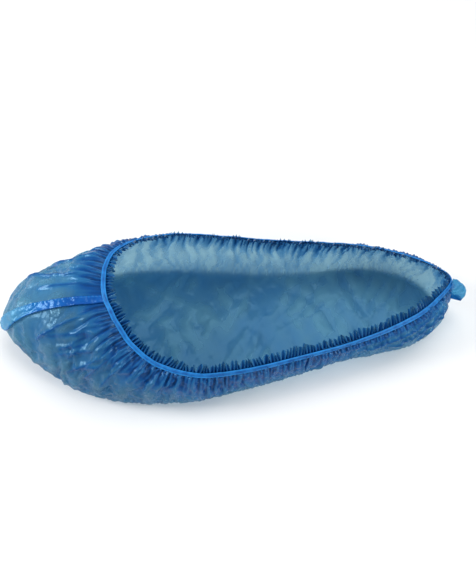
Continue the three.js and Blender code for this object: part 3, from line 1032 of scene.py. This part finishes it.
def depth_of_blue(tree, least):
    """How deep the blue is: the first mark deepens it for extra layers and paints shade and light into
    it, and the second paints valleys deeper and crests paler as painted shade and highlight.
    """
    dense_and_shaded = shader(tree, "Math", {1: DEEPER_BY_LAYERS_AND_SHADE, 2: least}, operation="MULTIPLY_ADD")
    depth = shader(tree, "Math", {1: -PAINTED_SHADE_BY_CREST}, operation="MULTIPLY_ADD", use_clamp=True)
    tree.links.new(mark(tree, "depth_and_painted_light"), dense_and_shaded.inputs[0])
    tree.links.new(mark(tree, "painted_shade_and_dashes"), depth.inputs[0])
    tree.links.new(dense_and_shaded.outputs["Value"], depth.inputs[2])
    return depth.outputs["Value"]


# %% [markdown]
# The finest folds are too small to be worth modelling, so they are bumps in the material. Long ones
# come from triangle waves that cross each other, in the way that packed film was folded flat, and a
# little of their height is painted into the colour as shade, deeper in their valleys. Smaller sharp
# ones come from ridged noise.

# %% Packed folds
PACKED_FOLDS = [  # turn about x, y and z in degrees, spacing in millimetres, how much it bends
    ((0, 20, 35), 19, 3.2),
    ((40, 0, 110), 12, 3.6),
    ((70, 60, 75), 26, 2.4),
    ((20, 50, 150), 9, 4.0),
    ((10, 10, 75), 14, 3.0),
]
WAVES_PER_UNIT = 20 / (2 * math.pi)
MM_PER_UNIT = 1000
PATCH_SPACINGS = 2.5
FOLD_FADES = {"From Min": 0.42, "From Max": 0.62}
HIGH_FOLDS = 2.0
FOLD_SHADE = 0.1


def packed_fold(tree, place, turn, spacing, bend):
    """Height of one set of long folds with sharp turns, and how strong it is at each place."""
    angles = [math.radians(angle) for angle in turn]
    turned = shader(tree, "Mapping", {"Rotation": angles})
    waves = {"Scale": MM_PER_UNIT / (spacing * WAVES_PER_UNIT), "Distortion": bend}
    wave = shader(tree, "TexWave", {**waves, "Detail": 1, "Detail Scale": 0.8}, wave_profile="TRI")
    patches = shader(tree, "TexNoise", {"Scale": MM_PER_UNIT / (PATCH_SPACINGS * spacing)})
    fade = shader(tree, "MapRange", FOLD_FADES)
    tree.links.new(place, turned.inputs["Vector"])
    tree.links.new(turned.outputs["Vector"], wave.inputs["Vector"])
    tree.links.new(turned.outputs["Vector"], patches.inputs["Vector"])
    tree.links.new(patches.outputs["Fac"], fade.inputs["Value"])
    return wave.outputs["Fac"], fade.outputs["Result"]


def packed_folds(tree, place):
    """Height of all the sets of folds, added up."""
    height = None
    for turn, spacing, bend in PACKED_FOLDS:
        wave, fade = packed_fold(tree, place, turn, spacing, bend)
        added = shader(tree, "Math", {2: 0}, operation="MULTIPLY_ADD")
        tree.links.new(wave, added.inputs[0])
        tree.links.new(fade, added.inputs[1])
        if height:
            tree.links.new(height, added.inputs[2])
        height = added.outputs["Value"]
    return height


def shaded_by(tree, folds, depth):
    """The depth of blue with painted shade: a little more in the valleys of the folds than on their
    crests.
    """
    span = {"From Max": HIGH_FOLDS, "To Min": FOLD_SHADE, "To Max": -FOLD_SHADE}
    shade = shader(tree, "MapRange", span)
    both = shader(tree, "Math", use_clamp=True)
    tree.links.new(folds, shade.inputs["Value"])
    tree.links.new(shade.outputs["Result"], both.inputs[0])
    tree.links.new(depth, both.inputs[1])
    return both.outputs["Value"]


# %% Bumps
CREASE_NOISE = {"Scale": 170, "Detail": 3, "Distortion": 0.6}
FOLD_BUMP = 0.0012
CREASE_BUMP = 0.0006
GATHERED_DEPTH = 0.7
GATHERED_CRUMPLE = 0.2


def bump_from(tree, height, reach, strength, under=None):
    """A normal that is bent by a height, on top of the one under it."""
    bump = shader(tree, "Bump", {"Distance": reach})
    tree.links.new(height, bump.inputs["Height"])
    tree.links.new(strength, bump.inputs["Strength"])
    if under:
        tree.links.new(under, bump.inputs["Normal"])
    return bump.outputs["Normal"]


def film_bumps(tree, place, folds, depth, crumple):
    """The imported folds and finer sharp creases, both weaker where the film is gathered."""
    creases = shader(tree, "TexNoise", CREASE_NOISE, noise_type="RIDGED_MULTIFRACTAL")
    span = {"From Max": GATHERED_DEPTH, "To Min": crumple, "To Max": GATHERED_CRUMPLE * crumple}
    strength = shader(tree, "MapRange", span)
    tree.links.new(place, creases.inputs["Vector"])
    tree.links.new(depth, strength.inputs["Value"])
    strength = strength.outputs["Result"]
    under = bump_from(tree, folds, FOLD_BUMP, strength)
    return bump_from(tree, creases.outputs["Fac"], CREASE_BUMP, strength, under)


# %% Film materials
MOST_SOLID = 0.92
FILM_GLOSS = {"Roughness": 0.22, "Specular IOR Level": 0.5, "Specular Tint": (0.38, 0.76, 1.0, 1)}


def new_material(name, gloss):
    """A material with its node tree and its main shader, which has the gloss set."""
    material = bpy.data.materials.new(name)
    material.use_nodes = True
    surface = material.node_tree.nodes["Principled BSDF"]
    for socket, value in gloss.items():
        surface.inputs[socket].default_value = value
    return material, material.node_tree, surface


def film_material(name, colours, least_depth, least_solid, crumple):
    """See-through film that gets deeper and more solid where it is gathered."""
    material, tree, surface = new_material(name, FILM_GLOSS)
    place = shader(tree, "TexCoord").outputs["Object"]
    folds = packed_folds(tree, place)
    depth = shaded_by(tree, folds, depth_of_blue(tree, least_depth))
    body = colour_ramp(tree, depth, [(at, body) for at, body, _ in colours])
    passed = colour_ramp(tree, depth, [(at, passed) for at, _, passed in colours])
    solid = shader(tree, "MapRange", {"To Min": least_solid, "To Max": MOST_SOLID})
    clear = shader(tree, "BsdfTransparent")
    blend = shader(tree, "MixShader")
    tree.links.new(depth, solid.inputs["Value"])
    tree.links.new(body, surface.inputs["Base Color"])
    tree.links.new(passed, clear.inputs["Color"])
    tree.links.new(film_bumps(tree, place, folds, depth, crumple), surface.inputs["Normal"])
    tree.links.new(solid.outputs["Result"], blend.inputs["Fac"])
    tree.links.new(clear.outputs["BSDF"], blend.inputs[1])
    tree.links.new(surface.outputs["BSDF"], blend.inputs[2])
    tree.links.new(blend.outputs["Shader"], tree.nodes["Material Output"].inputs["Surface"])
    return material


FILMS = [  # name, colours, least depth, least solid, crumple
    ("thin blue film", THIN_FILM, 0.12, 0.5, 0.85),
    ("gathered film", THIN_FILM, 0.2, 0.5, 0.3),
    ("doubled film", DOUBLED_FILM, 0.2, 0.55, 0.35),
    ("loose doubled film", DOUBLED_FILM, 0.1, 0.35, 0.35),
]
thin_film, gathered_film, doubled_film, loose_film = (film_material(*film) for film in FILMS)
print("films", ", ".join(film.name for film in (thin_film, gathered_film, doubled_film, loose_film)))

# %% [markdown]
# The elastic lets no light through. It is darker in the middle of the band, where the rubber is, and
# paler along the two edges, where there is only film. A plain glossy shader is enough for it.

# %% Elastic material
ELASTIC_GLOSS = {"Roughness": 0.42, "Specular IOR Level": 0.35, "Specular Tint": (0.45, 0.78, 1.0, 1)}
ELASTIC_GRAIN = 260
PALER_AT_EDGE = 0.5
ELASTIC_COLOURS = [  # paleness, colour
    (0.35, (0.005, 0.07, 0.30)),
    (0.95, (0.02, 0.23, 0.64)),
]


def elastic_material():
    """Azure, paler along its two edges, with a faint grain."""
    material, tree, surface = new_material("stretched elastic", ELASTIC_GLOSS)
    place = shader(tree, "TexCoord").outputs["Object"]
    grain = shader(tree, "TexNoise", {"Scale": ELASTIC_GRAIN})
    paleness = shader(tree, "Math", {1: PALER_AT_EDGE}, operation="MULTIPLY_ADD")
    tree.links.new(place, grain.inputs["Vector"])
    tree.links.new(mark(tree, "edge"), paleness.inputs[0])
    tree.links.new(grain.outputs["Fac"], paleness.inputs[2])
    colour = colour_ramp(tree, paleness.outputs["Value"], ELASTIC_COLOURS)
    tree.links.new(colour, surface.inputs["Base Color"])
    return material


FINISHES = [
    (bag, thin_film),
    (ruffle, gathered_film),
    (elastic, elastic_material()),
    (flap, doubled_film),
    (fin, loose_film),
]
for piece, material in FINISHES:
    piece.data.materials.append(material)

# %% [markdown]
# ## Join the pieces to the frame
#
# Each sheet stands in for its solid and rides on the part's one body.

# %% Replace the solids
PIECES = {
    "film_bag": (bag, "film"),
    "hem_ruffle": (ruffle, "gathered_film"),
    "elastic_band": (elastic, "elastic"),
    "toe_seam_flap": (flap, "doubled_film"),
    "heel_seam_fin": (fin, "doubled_film"),
}
for node, (piece, slot) in PIECES.items():
    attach(piece, "root")
    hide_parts(node)

# %% [markdown]
# The film was one flat rectangle before it was folded, welded and gathered.

# %% [markdown]
# ## Floor and light
#
# A plain pale floor and large soft lights, as on a product table. The window light comes from the toe
# side and low, because folds in glossy film only show when light comes across them.

# %% Floor
TABLE_GLOSS = {"Base Color": (0.86, 0.87, 0.88, 1), "Roughness": 0.7}
TABLE_SIZE = 3

floor_grid = bmesh.new()
bmesh.ops.create_grid(floor_grid, x_segments=1, y_segments=1, size=TABLE_SIZE)
floor_mesh = bpy.data.meshes.new("table")
floor_grid.to_mesh(floor_mesh)
floor_grid.free()
table = bpy.data.objects.new("table", floor_mesh)
bpy.context.scene.collection.objects.link(table)
pale, _, _ = new_material("pale table", TABLE_GLOSS)
floor_mesh.materials.append(pale)

# %% Lights
LAMPS = [  # name, place, size, power
    ("window", (-0.15, -0.95, 0.55), 0.4, 8),
    ("overhead", (-0.35, 0.25, 1.0), 0.9, 6),
    ("edge", (0.55, 0.7, 0.35), 0.25, 3),
]
SKY_COLOUR = (1, 1, 1, 1)
SKY_STRENGTH = 0.5
MOST_LAYERS = 32

for name, place, size, power in LAMPS:
    light = bpy.data.lights.new(name, "AREA")
    light.size = size
    light.energy = power
    lamp = bpy.data.objects.new(name, light)
    bpy.context.scene.collection.objects.link(lamp)
    lamp.location = place
    lamp.rotation_euler = (-Vector(place)).to_track_quat("-Z", "Y").to_euler()
sky = bpy.data.worlds.new("studio")
sky.use_nodes = True
sky.node_tree.nodes["Background"].inputs["Color"].default_value = SKY_COLOUR
sky.node_tree.nodes["Background"].inputs["Strength"].default_value = SKY_STRENGTH
bpy.context.scene.world = sky
bpy.context.scene.view_settings.view_transform = "Standard"
bpy.context.scene.cycles.transparent_max_bounces = MOST_LAYERS
